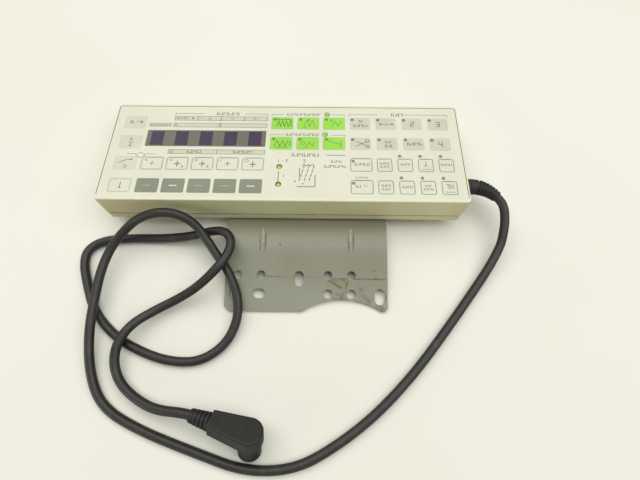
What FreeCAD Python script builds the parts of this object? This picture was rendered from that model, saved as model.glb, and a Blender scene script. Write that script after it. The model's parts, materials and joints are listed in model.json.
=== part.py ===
import FreeCAD, Part
import math
import os

os.makedirs("parts", exist_ok=True)
V = FreeCAD.Vector

# Sizes in mm. The panel frame has x to the right, y to the rear and z out of the face,
# with its origin at the middle of the face's front edge. Edges are told apart to within tiny.
tiny = 0.01

# Case
case_width = 223.0
case_depth = 75.2
case_height = 21.5
split_depth = 15.5
side_draft = 2.1
rear_draft = 4.4
wall = 2.0
corner_round = 2.2
top_round = 0.7
edge_round = 0.8
seam_step = 0.25
seam_gap = 0.9
seam_inset = 1.2

# Printed film in its recess
film_thick = 0.5
film_rim = 1.1
film_rear_rim = 2.0
film_front = 2.6
film_corner = 1.2
film_gap = 0.4
film_front_gap = 0.05
deck_top = -film_thick
deck_bottom = deck_top - wall

# Rows of the key field, from front to rear. They fill the face between its two margins.
front_margin = 5.0
rear_margin = 11.0
row_count = 4
row_space = 6.4
grey_inset = 0.6
narrow_inset = 0.2
key_height = (case_depth - front_margin - rear_margin + row_space) / row_count - row_space
grey_key_height = key_height - grey_inset
narrow_key_height = key_height - narrow_inset
row_pitch = key_height + row_space
rows = [front_margin + key_height / 2 + row_pitch * i for i in range(row_count)]
row_gaps = [row + row_pitch / 2 for row in rows[:-1]]

# Columns of the key field, from left to right. The left column and the digits have a set pitch,
# and the columns on the right fill the rest of the face up to its margins.
left_margin = 14.0
left_step = 16.4
left_key_width = 13.4
digit_count = 5
digit_pitch = 15.5
plus_space = 1.8
minus_space = 2.1
group_step = 16.6
right_margin = 13.98
right_steps = 6
wide_steps = 3
green_space = 2.87
grey_space = 4.17
wide_space = 3.27
narrow_margin = 7.3
narrow_count = 4
narrow_first_space = 2.99
narrow_space = 3.4
left_column = left_margin - case_width / 2
digit_column = left_column + left_step
plus_key_width = digit_pitch - plus_space
minus_key_width = digit_pitch - minus_space
digit_span = digit_pitch * (digit_count - 1)
right_column = digit_column + digit_span + group_step
right_pitch = (case_width / 2 - right_margin - right_column) / right_steps
green_key_width = right_pitch - green_space
grey_key_width = right_pitch - grey_space
wide_key_width = right_pitch - wide_space
wide_column = right_column + right_pitch * wide_steps
narrow_start = wide_column + wide_key_width / 2 + narrow_first_space
narrow_pitch = (case_width / 2 - narrow_margin - narrow_start + narrow_space) / narrow_count
narrow_key_width = narrow_pitch - narrow_space
narrow_column = narrow_start + narrow_key_width / 2

# Keys
key_round = 0.8
key_gap = 0.2
key_film_gap = 0.08
key_lip = 0.5
key_lip_thick = 0.8
key_lip_gap = 0.1
key_travel = 0.3
stem_side = 2.6

# Board and what stands on it
board_top = -9.0
board_thick = 1.6
board_side_gap = 3.9
board_front_gap = 1.5
board_rear_gap = 4.2
board_half_width = case_width / 2 - side_draft - wall - board_side_gap
board_front = wall + board_front_gap
board_rear = case_depth - rear_draft - wall - board_rear_gap
switch_side = 6.0
switch_height = 4.0
well_gap = 0.3
stem_reach = 0.6
well_depth = stem_reach + key_travel + well_gap
notch_depth = 5.0
notch_gap = 3.1
lamp_size = (1.6, 1.0, 0.8)
corner_lamp_shift = (-4.9, 3.3)
wide_lamp_shift = (-5.0, 2.8)
upper_lamp_shift = (-3.0, 6.9)
lamp_gaps = [narrow_column + narrow_pitch * (i + 0.5) + upper_lamp_shift[0] for i in (1, 2)]
round_lamp_radius = 1.7
round_lamp_gap = 0.2
round_lamp_aside = 0.2
round_lamp_insets = (1.6, 1.8)
round_lamp_x = right_column - round_lamp_aside
round_lamp_rows = (rows[0] + round_lamp_insets[0], rows[1] - round_lamp_insets[1])
digit_rise = 3.4
digit_row = rows[2] + digit_rise
digit_module = (12.4, 17.0)
digit_top = -3.2
window_aside = 0.2
window_overhang = 13.8
window_depth = 13.0
window_x = digit_column + digit_span / 2 - window_aside
window_size = (digit_span + window_overhang, window_depth)
window_gap = 0.1
window_drop = 0.05
connector_size = (10.0, 8.0, 5.5)
connector_step = 9.3
connector_x = lamp_gaps[0] + connector_step

# Screws. Their posts stand in the gaps between the rows of keys, clear of the lamps there,
# and behind the last row.
post_radius = 2.1
screw_radius = 1.2
screw_gap = 0.25
screw_head = (2.2, 1.8)
rear_post_inset = 8.2
rear_post_asides = (4.9, 10.5)
lamp_post_aside = 8.4
left_post_x = (left_column + digit_column) / 2
middle_post_x = wide_column - right_pitch / 2
right_post_x = right_column + right_pitch * (right_steps - 0.5)
rear_post_y = case_depth - rear_post_inset
case_screw_spots = (
    (left_post_x, row_gaps[0]),
    (lamp_gaps[0], row_gaps[0]),
    (digit_column - rear_post_asides[0], rear_post_y),
    (right_column - rear_post_asides[1], rear_post_y),
    (right_post_x, rear_post_y),
)
case_boss_radius = 3.5
case_screw_sink = 3.2
case_screw_bite = 8.0
board_screw_spots = (
    (left_post_x, row_gaps[1]),
    (right_column - lamp_post_aside, row_gaps[0]),
    (middle_post_x, row_gaps[0]),
    (lamp_gaps[1], row_gaps[1]),
)
board_screw_bite = 4.0
bracket_screw_radius = 1.9
bracket_screw_head = (3.6, 2.4)
bracket_boss_radius = 4.2
bracket_boss_height = 3.5
bracket_pad_radius = 5.0
bracket_pad_height = 1.6

# Bracket: a plate on pads under the case and a flange that is bent down in front of it.
# Distances along the flange are from the bend line, in line with the plate.
sheet = 2.0
plate_top = -case_height - bracket_pad_height
bracket_left = -35.0
bracket_right = 64.0
bracket_middle = (bracket_left + bracket_right) / 2
plate_rear = 36.0
bend_line = -13.7
bend_angle = math.radians(19.8)
bend_inside = 32.0
flange_length = 43.75
flange_chamfer = 2.7
lobe_round = 3.5
scallop_inset = 27.6
scallop_radius = 43.0
scallop_depth = 7.6
scallop_x = bracket_right - scallop_inset
scallop_top = flange_length - scallop_depth
hole_radius = 2.75
hole_pitch = 14.2
hole_row_inset = 10.7
hole_row_space = 11.2
hole_row_b = flange_length - hole_row_inset
hole_row_a = hole_row_b - hole_row_space
left_pair_inset = 14.8
right_pair_inset = 29.2
left_pair_x = bracket_left + left_pair_inset
right_pair_x = bracket_right - right_pair_inset
side_slot = (7.8, 5.8)
side_slot_aside = 1.25
middle_slot = (5.6, 9.4)
middle_slot_aside = 4.4
middle_slot_drop = 2.1
middle_slot_spot = (bracket_middle - middle_slot_aside, hole_row_a + middle_slot_drop)
right_slot = (6.3, 9.7)
right_slot_insets = (4.7, 9.1)
right_slot_spot = (bracket_right - right_slot_insets[0], flange_length - right_slot_insets[1])
gusset_reach = 8.5
gusset_radius = 2.4
gusset_raise = 2.2
gusset_wall = 1.5
gusset_inset = 22.25
gusset_columns = (bracket_left + gusset_inset, bracket_right - gusset_inset)
gusset_trim_radius = 0.5
bracket_screw_inset = 14.5
bracket_screw_first = 8.0
bracket_screw_last = 14.0
bracket_screw_columns = (bracket_left + bracket_screw_inset, bracket_right - bracket_screw_inset)
bracket_screw_rows = (bracket_screw_first, plate_rear - bracket_screw_last)

# Lead with its relief at the case
lead_radius = 2.75
relief_y = 18.2
relief_z = -10.6
relief_neck = 4.0
relief_fit = 0.05
relief_collar = (5.15, 4.7, 9.5)
relief_inner = (4.7, 2.4)
relief_core = (4.6, 3.1)
relief_straight = 6.0
relief_bend_radius = 22.0
relief_bend = math.radians(46.0)
relief_dip = math.radians(10.0)
relief_ribs = 7
relief_rib_width = 1.2
relief_rib_first = 4.7
relief_rib_last = 3.6
wire_radius = 1.5
wire_level_run = 2.9
wire_slope_run = 3.7
wire_drop = 3.6

# Route of the lead on the table, in the frame of the whole part, between the relief and the plug.
# It sweeps to the front and round to the left, rises over its later strand, leans on the case,
# crosses the corner of the bracket, makes a second loop and folds back to the plug.
lead_first_run = 4.0
lead_last_run = 4.0
lead_route = (
    (136.6, -5.3, 15.6), (136.7, -12.6, 13.5), (135.8, -18.9, 11.3), (134.3, -25.8, 8.8),
    (127, -38.8, 5.3), (115.5, -54.8, 2.8), (97.5, -78.1, 2.8), (77.5, -102.6, 2.8), (54.5, -125.1, 2.8),
    (31, -141.6, 2.8), (9.5, -152.6, 2.8), (-16.5, -154.1, 2.8), (-42.5, -145.6, 2.8),
    (-76.5, -134.1, 2.8), (-99.8, -121.4, 2.8), (-109.3, -104.1, 4), (-111.2, -82.1, 8),
    (-110.8, -60.1, 9.5), (-109.5, -43.1, 10), (-104.5, -29.1, 12), (-93.4, -17.7, 17.5),
    (-83, -14.1, 23.5), (-71.5, -12.8, 26.5), (-61, -13.6, 24.5), (-52.3, -18.1, 19.2),
    (-46, -26.1, 14.7), (-39.7, -35.1, 11.8), (-31.7, -45.4, 10.5), (-26, -59.1, 8.2), (-25.5, -73.1, 5),
    (-32.2, -87.3, 2.8), (-45.5, -96.6, 2.8), (-60, -97.5, 2.8), (-75.8, -94, 2.8), (-96.8, -84.4, 2.8),
    (-113, -68.6, 2.8), (-120.8, -49.9, 2.8), (-124.4, -39.1, 2.8), (-124.3, -30.6, 2.8),
    (-118.5, -24.9, 2.8), (-108.5, -22.1, 2.8), (-93, -21.6, 3.3), (-74, -22.1, 5), (-57, -21.5, 8.2),
    (-45, -19.3, 11.8), (-35.5, -20.3, 15.2), (-30.5, -26.6, 16.6), (-31.8, -35.8, 17.4),
    (-39, -46.1, 17.3), (-49.7, -54.9, 12.2), (-61.7, -61, 7), (-75.7, -68.1, 6), (-87.2, -76.9, 9.2),
    (-93.6, -87.7, 9.2), (-94.5, -99.1, 7.2), (-89.5, -109.7, 6), (-79.5, -116.9, 7),
    (-66.5, -122.6, 9.8),
)

# Plug, in its own frame: x along the body to its round end, z out of the top, nose along minus z
plug_spot = (-13.4, -134.9)
plug_heading = math.radians(-16.0)
plug_slope = math.radians(6.0)
plug_roll = math.radians(32.0)
plug_round = 7.9
plug_neck = 5.3
plug_length = 21.8
plug_thick = 10.0
plug_edge = 1.5
plug_dimple = (0.9, 0.3)
plug_dimple_x = -1.0
nose_radius = 6.5
nose_length = 11.0
nose_bore = 5.3
nose_bore_depth = 9.0
shell_wall = 0.5
insert_height = 2.0
pin_radius = 0.5
pin_circle = 3.2
pin_count = 8
pin_length = 5.0
shell_drop = 0.4
boot_length = 12.2
boot_core = 3.7
boot_ribs = 5
boot_rib_width = 1.5
boot_rib_first = 4.0
boot_rib_last = 5.0

# Tilt of the panel: it stands on the rear bottom edge of the case and on the flange's free edge
foot_y = case_depth - rear_draft - seam_step
foot_z = -case_height
wall_lean = math.atan2(rear_draft, case_height)
foot_center_y = foot_y - edge_round / math.tan((math.pi / 2 + wall_lean) / 2)
foot_center_z = foot_z + edge_round
free_top_y = bend_line - flange_length * math.cos(bend_angle)
free_top_z = plate_top - flange_length * math.sin(bend_angle)
free_low_y = free_top_y + sheet * math.sin(bend_angle)
free_low_z = free_top_z - sheet * math.cos(bend_angle)
rise = foot_center_z - free_low_z
reach = foot_center_y - free_low_y
tilt = math.atan2(rise, reach) - math.asin(edge_round / math.hypot(rise, reach))


def tilted(y, z):
    return (
        y * math.cos(tilt) + z * math.sin(tilt),
        z * math.cos(tilt) - y * math.sin(tilt),
    )


brow_center_y = case_depth - edge_round / math.tan((math.pi / 2 - wall_lean) / 2)
rear_reach = tilted(brow_center_y, -edge_round)[0] + edge_round
front_reach = tilted(free_top_y, free_top_z)[0]
shift_y = -(rear_reach + front_reach) / 2
shift_z = -tilted(free_low_y, free_low_z)[1]


def stand(shape):
    """Moves a shape from the panel frame to the frame of the whole part."""
    placed = shape.copy()
    placed.rotate(V(0, 0, 0), V(1, 0, 0), -math.degrees(tilt))
    placed.translate(V(0, shift_y, shift_z))
    return placed


def save(name, shape):
    shape.exportStep("parts/" + name + ".step")


def block(x0, x1, y0, y1, z0, z1):
    return Part.makeBox(x1 - x0, y1 - y0, z1 - z0, V(x0, y0, z0))


def rod(x, y, radius, z0, z1):
    return Part.makeCylinder(radius, z1 - z0, V(x, y, z0))


def centered(x, y, width, depth, z0, z1):
    return block(x - width / 2, x + width / 2, y - depth / 2, y + depth / 2, z0, z1)


def rounded_bar(x, y, width, depth, radius, z0, z1):
    bar = centered(x, y, width, depth, z0, z1)
    upright = [e for e in bar.Edges if e.BoundBox.ZLength > (z1 - z0) / 2]
    return bar.makeFillet(radius, upright)


def outline_at(inset, z):
    half = case_width / 2 + side_draft * z / case_height - inset
    rear = case_depth + rear_draft * z / case_height - inset
    corners = [V(-half, inset, z), V(half, inset, z), V(half, rear, z), V(-half, rear, z)]
    return Part.makePolygon(corners + corners[:1])


def taper_block(inset, z_top, z_bottom):
    """Solid between two depths that follows the draft of the case, set in from its outside."""
    return Part.makeLoft([outline_at(inset, z_top), outline_at(inset, z_bottom)], True, True)


def key_list():
    """Name, centre and size of each key."""
    keys = []
    for i, row in enumerate(reversed(rows)):
        keys.append(("left_key_%d" % (i + 1), left_column, row, left_key_width, key_height))
    for i in range(digit_count):
        x = digit_column + digit_pitch * i
        keys.append(("plus_key_%d" % (i + 1), x, rows[1], plus_key_width, key_height))
        keys.append(("minus_key_%d" % (i + 1), x, rows[0], minus_key_width, key_height))
    for line in range(2):
        for i in range(wide_steps):
            x = right_column + right_pitch * i
            name = "green_key_%d" % (3 * line + i + 1)
            keys.append((name, x, rows[3 - line], green_key_width, key_height))
        for i in range(4):
            x = wide_column + right_pitch * i
            name = "grey_key_%d" % (4 * line + i + 1)
            keys.append((name, x, rows[3 - line], grey_key_width, grey_key_height))
        name = "outline_key_%d" % (5 * line + 1)
        keys.append((name, wide_column, rows[1 - line], wide_key_width, key_height))
        for i in range(narrow_count):
            x = narrow_column + narrow_pitch * i
            name = "outline_key_%d" % (5 * line + i + 2)
            keys.append((name, x, rows[1 - line], narrow_key_width, narrow_key_height))
    return keys


def make_key(x, y, width, height):
    lip_top = deck_bottom - key_lip_gap
    lip_bottom = lip_top - key_lip_thick
    grow = 2 * (key_gap + key_lip)
    stem_bottom = board_top + switch_height - stem_reach
    cap = rounded_bar(x, y, width, height, key_round, lip_top, 0)
    lip = centered(x, y, width + grow, height + grow, lip_bottom, lip_top)
    stem = centered(x, y, stem_side, stem_side, stem_bottom, lip_bottom)
    return cap.fuse([lip, stem]).removeSplitter()


def upright_edges(body):
    box = body.BoundBox
    return [e for e in body.Edges if e.BoundBox.ZLength > box.ZLength / 2]


def film_area(gap, z0, z1):
    """Area of the film, less a gap to the rim of the recess. Its front edge is closer."""
    half = case_width / 2 - film_rim - gap
    front = film_front + min(gap, film_front_gap)
    rear = case_depth - film_rear_rim - gap
    corner = film_corner + film_gap - gap
    middle = (front + rear) / 2
    return rounded_bar(0, middle, 2 * half, rear - front, corner, z0, z1)


def make_front_cover(keys):
    body = taper_block(0, 0, -split_depth)
    body = body.makeFillet(corner_round, upright_edges(body))
    body = body.makeFillet(top_round, [e for e in body.Edges if e.BoundBox.ZMin > -tiny])
    body = body.cut(taper_block(wall, deck_bottom, -split_depth))
    cutters = [film_area(0, deck_top, 1)]
    for name, x, y, width, height in keys:
        cutters.append(
            centered(x, y, width + 2 * key_gap, height + 2 * key_gap, deck_bottom, deck_top)
        )
    cutters.append(centered(window_x, digit_row, window_size[0], window_size[1], deck_bottom, deck_top))
    for y in round_lamp_rows:
        cutters.append(rod(round_lamp_x, y, round_lamp_radius + round_lamp_gap, deck_bottom, deck_top))
    inside = case_width / 2 - 2 * wall - side_draft
    neck = Part.makeCylinder(relief_neck, 4 * wall, V(inside, relief_y, relief_z), V(1, 0, 0))
    cutters.append(neck)
    body = body.cut(cutters)
    posts = [rod(x, y, post_radius, -split_depth, deck_bottom) for x, y in case_screw_spots]
    posts += [rod(x, y, post_radius, board_top, deck_bottom) for x, y in board_screw_spots]
    body = body.fuse(posts)
    holes = []
    for x, y in case_screw_spots:
        holes.append(rod(x, y, screw_radius, -split_depth, -split_depth + case_screw_bite))
    for x, y in board_screw_spots:
        holes.append(rod(x, y, screw_radius, board_top, board_top + board_screw_bite))
    return body.cut(holes)


def bracket_screw_spots():
    return [(x, y) for x in bracket_screw_columns for y in bracket_screw_rows]


def make_rear_cover():
    seam = -split_depth - seam_gap
    body = taper_block(seam_step, seam, -case_height)
    body = body.makeFillet(corner_round, upright_edges(body))
    body = body.makeFillet(edge_round, [e for e in body.Edges if e.BoundBox.ZMax < -case_height + tiny])
    body = body.fuse(taper_block(seam_step + seam_inset, -split_depth, seam))
    floor = -case_height + wall
    body = body.cut(taper_block(seam_step + wall, -split_depth, floor))
    bosses = [rod(x, y, case_boss_radius, floor, -split_depth) for x, y in case_screw_spots]
    for x, y in bracket_screw_spots():
        bosses.append(rod(x, y, bracket_boss_radius, floor, floor + bracket_boss_height))
        bosses.append(rod(x, y, bracket_pad_radius, plate_top, -case_height))
    body = body.fuse(bosses)
    holes = []
    for x, y in case_screw_spots:
        holes.append(rod(x, y, screw_radius + screw_gap, -case_height, -split_depth))
        sink_radius = screw_head[0] + screw_gap
        holes.append(rod(x, y, sink_radius, -case_height, -case_height + case_screw_sink))
    for x, y in bracket_screw_spots():
        holes.append(rod(x, y, bracket_screw_radius, plate_top, floor + bracket_boss_height))
    return body.cut(holes)


def make_film(keys):
    body = film_area(film_gap, deck_top, 0)
    cutters = []
    corner = key_round + key_film_gap
    grow = 2 * key_film_gap
    for name, x, y, width, height in keys:
        cutters.append(rounded_bar(x, y, width + grow, height + grow, corner, deck_top, 0))
    cutters.append(
        rounded_bar(window_x, digit_row, window_size[0], window_size[1], key_round, deck_top, 0)
    )
    for y in round_lamp_rows:
        cutters.append(rod(round_lamp_x, y, round_lamp_radius + round_lamp_gap, deck_top, 0))
    return body.cut(cutters)


def make_window():
    width = window_size[0] - 2 * window_gap
    depth = window_size[1] - 2 * window_gap
    return rounded_bar(window_x, digit_row, width, depth, key_round, deck_bottom, -window_drop)


def make_board():
    """Board with holes for the posts and screws and a notch where the wires come in."""
    bottom = board_top - board_thick
    body = block(-board_half_width, board_half_width, board_front, board_rear, bottom, board_top)
    holes = [rod(x, y, post_radius + screw_gap, bottom, board_top) for x, y in case_screw_spots[:2]]
    holes += [rod(x, y, screw_radius, bottom, board_top) for x, y in board_screw_spots]
    notch_width = 2 * (wire_radius + notch_gap)
    notch_x = board_half_width - notch_depth / 2
    holes.append(centered(notch_x, relief_y, notch_depth, notch_width, bottom, board_top))
    return body.cut(holes)


def make_switches(keys):
    solids = []
    top = board_top + switch_height
    for name, x, y, width, height in keys:
        body = centered(x, y, switch_side, switch_side, board_top, top)
        well = stem_side + 2 * well_gap
        solids.append(body.cut(centered(x, y, well, well, top - well_depth, top)))
    return Part.makeCompound(solids)


def make_key_lamps(keys):
    solids = []
    for name, x, y, width, height in keys:
        kind, number = name.split("_key_")
        number = int(number)
        shift = None
        if kind in ("green", "grey"):
            shift = corner_lamp_shift
        if kind == "outline" and number in (1, 6):
            shift = wide_lamp_shift
        if kind == "outline" and number in (3, 4, 5, 8, 9, 10):
            shift = upper_lamp_shift
        if shift:
            width, depth, height = lamp_size
            lamp = centered(x + shift[0], y + shift[1], width, depth, board_top, board_top + height)
            solids.append(lamp)
    return Part.makeCompound(solids)


def make_round_lamps():
    solids = []
    for y in round_lamp_rows:
        body = rod(round_lamp_x, y, round_lamp_radius, board_top, -round_lamp_radius)
        dome = Part.makeSphere(round_lamp_radius, V(round_lamp_x, y, -round_lamp_radius))
        solids.append(body.fuse(dome).removeSplitter())
    return Part.makeCompound(solids)


def make_digits():
    solids = []
    for i in range(digit_count):
        x = digit_column + digit_pitch * i
        solids.append(centered(x, digit_row, digit_module[0], digit_module[1], board_top, digit_top))
    return Part.makeCompound(solids)


def make_screws(spots, seat, tip, radius, head):
    """Pan screws driven upwards, with their heads under the seat."""
    head_radius, head_height = head
    solids = []
    for x, y in spots:
        shank = rod(x, y, radius, seat, tip)
        solids.append(rod(x, y, head_radius, seat - head_height, seat).fuse(shank).removeSplitter())
    return Part.makeCompound(solids)


def make_case_screws():
    seat = -case_height + case_screw_sink
    return make_screws(case_screw_spots, seat, -split_depth + case_screw_bite, screw_radius, screw_head)


def make_board_screws():
    seat = board_top - board_thick
    return make_screws(board_screw_spots, seat, board_top + board_screw_bite, screw_radius, screw_head)


def make_bracket_screws():
    seat = plate_top - sheet
    tip = -case_height + wall + bracket_boss_height
    return make_screws(bracket_screw_spots(), seat, tip, bracket_screw_radius, bracket_screw_head)


def sheet_outline(depth):
    """Edges of the bracket's section in the YZ plane, from its top face down by the given depth."""
    outer = bend_inside + sheet
    center = V(0, bend_line + outer * math.tan(bend_angle / 2), plate_top - outer)
    top_end = V(0, free_top_y, free_top_z)
    down = V(0, math.sin(bend_angle), -math.cos(bend_angle)) * depth

    def on_bend(radius, angle):
        return center + V(0, -math.sin(angle), math.cos(angle)) * radius

    inner = outer - depth
    top = [V(0, plate_rear, plate_top), on_bend(outer, 0), on_bend(outer, bend_angle), top_end]
    low = [top_end + down, on_bend(inner, bend_angle), on_bend(inner, 0)]
    low.append(V(0, plate_rear, plate_top - depth))
    return [
        Part.makeLine(top[0], top[1]),
        Part.Arc(top[1], on_bend(outer, bend_angle / 2), top[2]).toShape(),
        Part.makeLine(top[2], top[3]),
        Part.makeLine(top[3], low[0]),
        Part.makeLine(low[0], low[1]),
        Part.Arc(low[1], on_bend(inner, bend_angle / 2), low[2]).toShape(),
        Part.makeLine(low[2], low[3]),
        Part.makeLine(low[3], top[0]),
    ]


def sheet_body(left, right, depth):
    face = Part.Face(Part.Wire(sheet_outline(depth)))
    body = face.extrude(V(right - left, 0, 0))
    body.translate(V(left, 0, 0))
    return body


def on_flange(shape):
    """Turns a cutter that was made with the flange laid flat, in line with the plate."""
    turned = shape.copy()
    turned.rotate(V(0, bend_line, plate_top), V(1, 0, 0), math.degrees(bend_angle))
    return turned


def slot_cutter(x, along, size, z0, z1):
    """Slot with round ends, along x or y by which of its two sizes is larger."""
    y = bend_line - along
    radius = min(size) / 2
    aside = size[0] / 2 - radius
    ahead = size[1] / 2 - radius
    if aside > ahead:
        middle = centered(x, y, 2 * aside, size[1], z0, z1)
    else:
        middle = centered(x, y, size[0], 2 * ahead, z0, z1)
    ends = [rod(x + side * aside, y + side * ahead, radius, z0, z1) for side in (-1, 1)]
    return middle.fuse(ends).removeSplitter()


def flange_cutters():
    z0 = plate_top - 2 * sheet
    z1 = z0 + 3 * sheet
    end = bend_line - flange_length
    cutters = []
    pairs = ((left_pair_x, hole_row_a), (right_pair_x, hole_row_a), (right_pair_x, hole_row_b))
    for side in (-1, 1):
        for pair_x, line in pairs:
            cutters.append(rod(pair_x + side * hole_pitch / 2, bend_line - line, hole_radius, z0, z1))
        slot_x = left_pair_x - side_slot_aside + side * hole_pitch / 2
        cutters.append(slot_cutter(slot_x, hole_row_b, side_slot, z0, z1))
    cutters.append(slot_cutter(middle_slot_spot[0], middle_slot_spot[1], middle_slot, z0, z1))
    cutters.append(slot_cutter(right_slot_spot[0], right_slot_spot[1], right_slot, z0, z1))
    cutters.append(rod(scallop_x, bend_line - scallop_top - scallop_radius, scallop_radius, z0, z1))
    corner = [
        V(bracket_left, end, z0),
        V(bracket_left + flange_chamfer, end, z0),
        V(bracket_left, end + flange_chamfer, z0),
    ]
    chamfer = Part.Face(Part.makePolygon(corner + corner[:1])).extrude(V(0, 0, z1 - z0))
    cutters.append(chamfer)
    lobe = block(bracket_right - lobe_round, bracket_right, end, end + lobe_round, z0, z1)
    cutters.append(lobe.cut(rod(bracket_right - lobe_round, end + lobe_round, lobe_round, z0, z1)))
    return [on_flange(c) for c in cutters]


def gusset_rod(x, radius):
    """Rod along the chord of the bend, for one pressed gusset."""
    rear_end = V(x, bend_line + gusset_reach, plate_top)
    front_end = V(
        x,
        bend_line - gusset_reach * math.cos(bend_angle),
        plate_top - gusset_reach * math.sin(bend_angle),
    )
    outward = V(0, -math.sin(bend_angle / 2), math.cos(bend_angle / 2))
    along = front_end - rear_end
    return Part.makeCylinder(radius, along.Length, rear_end + outward * gusset_raise, along)


def make_bracket():
    body = sheet_body(bracket_left, bracket_right, sheet)
    body = body.cut(flange_cutters())
    plate_holes = []
    for x, y in bracket_screw_spots():
        hole = rod(x, y, bracket_screw_radius + screw_gap, plate_top - sheet, plate_top)
        plate_holes.append(hole)
    body = body.cut(plate_holes)
    for x in gusset_columns:
        thick = gusset_radius + gusset_wall
        under = sheet_body(x - thick, x + thick, bend_inside + sheet - gusset_trim_radius)
        body = body.fuse(gusset_rod(x, thick).common(under))
        body = body.cut(gusset_rod(x, gusset_radius))
    return body.removeSplitter()


def make_connector():
    bottom = board_top - board_thick
    return centered(
        connector_x, relief_y, connector_size[0], connector_size[1], bottom - connector_size[2], bottom
    )


def tangent_path(points, report=None):
    """Straight runs joined by tangent arcs, each as large as its two runs allow."""
    edges = []
    radii = []
    start = points[0]
    for before, here, after in zip(points, points[1:], points[2:]):
        back = before - here
        ahead = after - here
        setback = 0.45 * min(back.Length, ahead.Length)
        turn = math.pi - back.getAngle(ahead)
        radii.append(setback / math.tan(turn / 2))
        back.normalize()
        ahead.normalize()
        first = here + back * setback
        last = here + ahead * setback
        inward = back + ahead
        inward.normalize()
        reach_in = radii[-1] / math.cos(turn / 2) - radii[-1]
        edges.append(Part.LineSegment(start, first).toShape())
        edges.append(Part.Arc(first, here + inward * reach_in, last).toShape())
        start = last
    edges.append(Part.LineSegment(start, points[-1]).toShape())
    if report:
        print(report, "radii", " ".join("%.1f" % r for r in radii))
    return Part.Wire(edges)


def tube(points, radius, report=None):
    path = tangent_path(points, report)
    along = points[1] - points[0]
    ring = Part.Wire(Part.makeCircle(radius, points[0], along))
    body = path.makePipeShell([ring], True, False)
    if report:
        expected = math.pi * radius ** 2 * path.Length
        print(report, "length %.1f" % path.Length, "volume ratio %.4f" % (body.Volume / expected))
    return body


relief_wall_x = case_width / 2 + side_draft * relief_z / case_height
relief_inner_x = relief_wall_x - wall - relief_inner[1]


def make_wires():
    """Wires from the relief down past the board's notch to the connector."""
    low = relief_z - wire_drop
    points = [
        V(relief_inner_x, relief_y, relief_z),
        V(relief_inner_x - wire_level_run, relief_y, relief_z),
        V(relief_inner_x - wire_level_run - wire_slope_run, relief_y, low),
        V(connector_x + connector_size[0] / 2, relief_y, low),
    ]
    return tube(points, wire_radius)


def relief_at(distance):
    """Point and direction on the relief's axis, measured from the wall of the case."""
    y, z = tilted(relief_y, relief_z)
    base = V(relief_wall_x, y + shift_y, z + shift_z)
    aside = V(0, -math.cos(relief_dip), -math.sin(relief_dip))
    outward = V(1, 0, 0)
    if distance <= relief_straight:
        return base + outward * distance, outward
    angle = (distance - relief_straight) / relief_bend_radius
    point = base + outward * (relief_straight + relief_bend_radius * math.sin(angle))
    point = point + aside * (relief_bend_radius * (1 - math.cos(angle)))
    return point, outward * math.cos(angle) + aside * math.sin(angle)


relief_length = relief_straight + relief_bend_radius * relief_bend


def disc(spot, radius, width):
    point, direction = spot
    return Part.makeCylinder(radius, width, point - direction * (width / 2), direction)


def relief_tube(radii, length):
    """Tapered tube along the relief's axis, from the wall of the case to a length along it."""
    base = relief_at(0)
    corner = relief_at(relief_straight)
    middle = relief_at((relief_straight + length) / 2)
    end = relief_at(length)
    path = Part.Wire([
        Part.LineSegment(base[0], corner[0]).toShape(),
        Part.Arc(corner[0], middle[0], end[0]).toShape(),
    ])
    rings = []
    for radius, (point, direction) in zip(radii, (base, end)):
        rings.append(Part.Wire(Part.makeCircle(radius, point, direction)))
    return path.makePipeShell(rings, True, False)


def make_relief(covers):
    """Ribbed relief, bent as the lead pulls it, with a neck in the wall and a flange inside."""
    start = relief_at(-wall - relief_inner[1])[0]
    inside_wall = relief_at(-wall / 2)[0]
    body = relief_tube(relief_core, relief_length)
    pieces = [
        relief_tube(relief_collar[:2], relief_collar[2]),
        Part.makeCylinder(relief_collar[0], wall / 2, inside_wall, V(1, 0, 0)),
        Part.makeCylinder(relief_neck - relief_fit, wall + relief_inner[1], start, V(1, 0, 0)),
        Part.makeCylinder(relief_inner[0], wall, start, V(1, 0, 0)),
    ]
    first = relief_collar[2] + 1.5 * relief_rib_width
    last = relief_length - relief_rib_width
    for i in range(relief_ribs):
        share = i / (relief_ribs - 1)
        radius = relief_rib_first + (relief_rib_last - relief_rib_first) * share
        pieces.append(disc(relief_at(first + (last - first) * share), radius, relief_rib_width))
    return body.fuse(pieces).cut(covers).removeSplitter()


def plug_placement():
    """The plug stands on the rim of its nose, rolled towards the front."""
    turn = FreeCAD.Rotation(V(0, 0, 1), math.degrees(plug_heading))
    turn = turn.multiply(FreeCAD.Rotation(V(0, 1, 0), -math.degrees(plug_slope)))
    turn = turn.multiply(FreeCAD.Rotation(V(1, 0, 0), -math.degrees(plug_roll)))
    lean = turn.multVec(V(0, 0, 1)).z
    height = (plug_thick / 2 + nose_length) * lean + nose_radius * math.sqrt(1 - lean ** 2)
    return FreeCAD.Placement(V(plug_spot[0], plug_spot[1], height), turn)


plug_place = plug_placement()
nose_end = -plug_thick / 2 - nose_length
bore_floor = nose_end + nose_bore_depth


def on_plug(shape):
    placed = shape.copy()
    placed.Placement = plug_place
    return placed


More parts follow.
